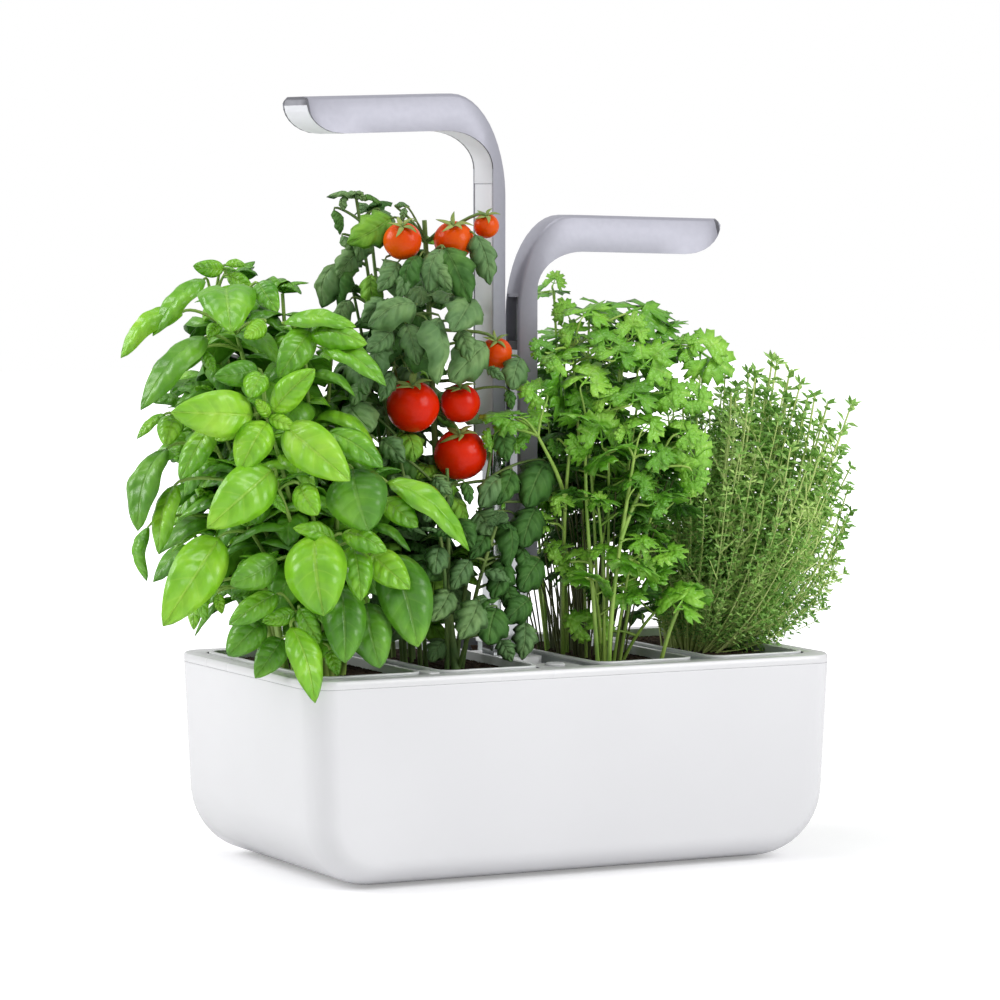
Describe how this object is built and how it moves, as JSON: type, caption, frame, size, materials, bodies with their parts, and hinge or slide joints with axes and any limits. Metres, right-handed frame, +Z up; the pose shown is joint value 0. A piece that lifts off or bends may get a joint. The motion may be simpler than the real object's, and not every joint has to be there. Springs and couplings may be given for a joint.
{
  "type": "countertop hydroponic garden",
  "caption": "Rounded white countertop tub with a lift-off deck of plant trays, grown herbs and tomato, and a pair of lamp arms that slide on posts to follow the plants.",
  "frame": {"origin": "on the table, at the middle of the whole object's plan, which is also the middle of the tub", "axes": "+X to the right as seen from the front, +Y to the rear, +Z up"},
  "size_m": [0.444, 0.2126, 0.426],
  "materials": {
    "casing": "glossy white moulding",
    "tank": "satin grey moulding",
    "rubber_foot": "matt",
    "deck": "glossy white moulding",
    "inlet": "matt black",
    "lead": "matt black sheath",
    "pod": "fine matt moulding",
    "circuit_board": "green solder mask",
    "switch": "matt black",
    "post": "polished",
    "guide": "matt dark grey",
    "screw": "bright steel",
    "tray": "grey-clear moulding",
    "growing_medium": "dark crumbly fibre",
    "wick": "white felt",
    "basil_leaf": "glossy bright green leaves",
    "tomato_leaf": "matt dark green leaves",
    "tomato_fruit": "glossy skin",
    "parsley_leaf": "bright green leaves",
    "thyme_leaf": "small grey-green leaves",
    "button": "satin",
    "plug": "glossy white",
    "arm_shell": "satin silver",
    "diffuser": "milky",
    "mast_cover": "pale satin",
    "heat_spreader": "bare",
    "light_board": "white solder mask",
    "light_chip": "yellow phosphor",
    "spring": "spring steel",
    "ribbon": "flat film"
  },
  "bodies": {
    "base": {"outer_casing": "casing", "water_tank": "tank", "rubber_feet": "rubber_foot"},
    "deck": {"deck_cover": "deck", "power_inlet": "inlet", "inlet_lead": "lead", "electronics_pod": "pod", "pod_cover": "pod", "control_board": "circuit_board", "tact_switch": "switch", "tower_base": "deck", "left_post": "post", "right_post": "post", "post_caps": "guide", "tower_screws": "screw", "basil_tray": "tray", "tomato_tray": "tray", "parsley_tray": "tray", "thyme_tray": "tray", "basil_soil": "growing_medium", "tomato_soil": "growing_medium", "parsley_soil": "growing_medium", "thyme_soil": "growing_medium", "basil_wicks": "wick", "tomato_wicks": "wick", "parsley_wicks": "wick", "thyme_wicks": "wick", "basil_plant": "basil_leaf", "tomato_vine": "tomato_leaf", "tomato_fruits": "tomato_fruit", "parsley_plant": "parsley_leaf", "thyme_plant": "thyme_leaf"},
    "left_arm": {"left_arm_shell": "arm_shell", "left_diffuser": "diffuser", "left_mast_cover": "mast_cover", "left_heat_spreader": "heat_spreader", "left_light_board": "light_board", "left_light_chips": "light_chip", "left_board_screws": "screw", "left_guide_shoe": "guide", "left_friction_spring": "spring", "left_ribbon_lead": "ribbon"},
    "right_arm": {"right_arm_shell": "arm_shell", "right_diffuser": "diffuser", "right_mast_cover": "mast_cover", "right_heat_spreader": "heat_spreader", "right_light_board": "light_board", "right_light_chips": "light_chip", "right_board_screws": "screw", "right_guide_shoe": "guide", "right_friction_spring": "spring", "right_ribbon_lead": "ribbon"},
    "lamp_button": {"lamp_button": "button"},
    "filling_plug": {"filling_plug": "plug"}
  },
  "joints": [
    {"name": "deck_lift", "type": "slide", "parent": "base", "child": "deck", "axis": [0, 0, 1], "range_m": [0, 0.13]},
    {"name": "left_lamp_slide", "type": "slide", "parent": "deck", "child": "left_arm", "axis": [0, 0, 1], "range_m": [-0.018, 0.0095]},
    {"name": "right_lamp_slide", "type": "slide", "parent": "deck", "child": "right_arm", "axis": [0, 0, 1], "range_m": [-0.008, 0.076]},
    {"name": "button_press", "type": "slide", "parent": "deck", "child": "lamp_button", "axis": [0, 0, 1], "range_m": [-0.0008, 0], "stiffness_N_per_m": 800},
    {"name": "plug_lift", "type": "slide", "parent": "deck", "child": "filling_plug", "axis": [0, 0, 1], "range_m": [0, 0.03]}
  ]
}
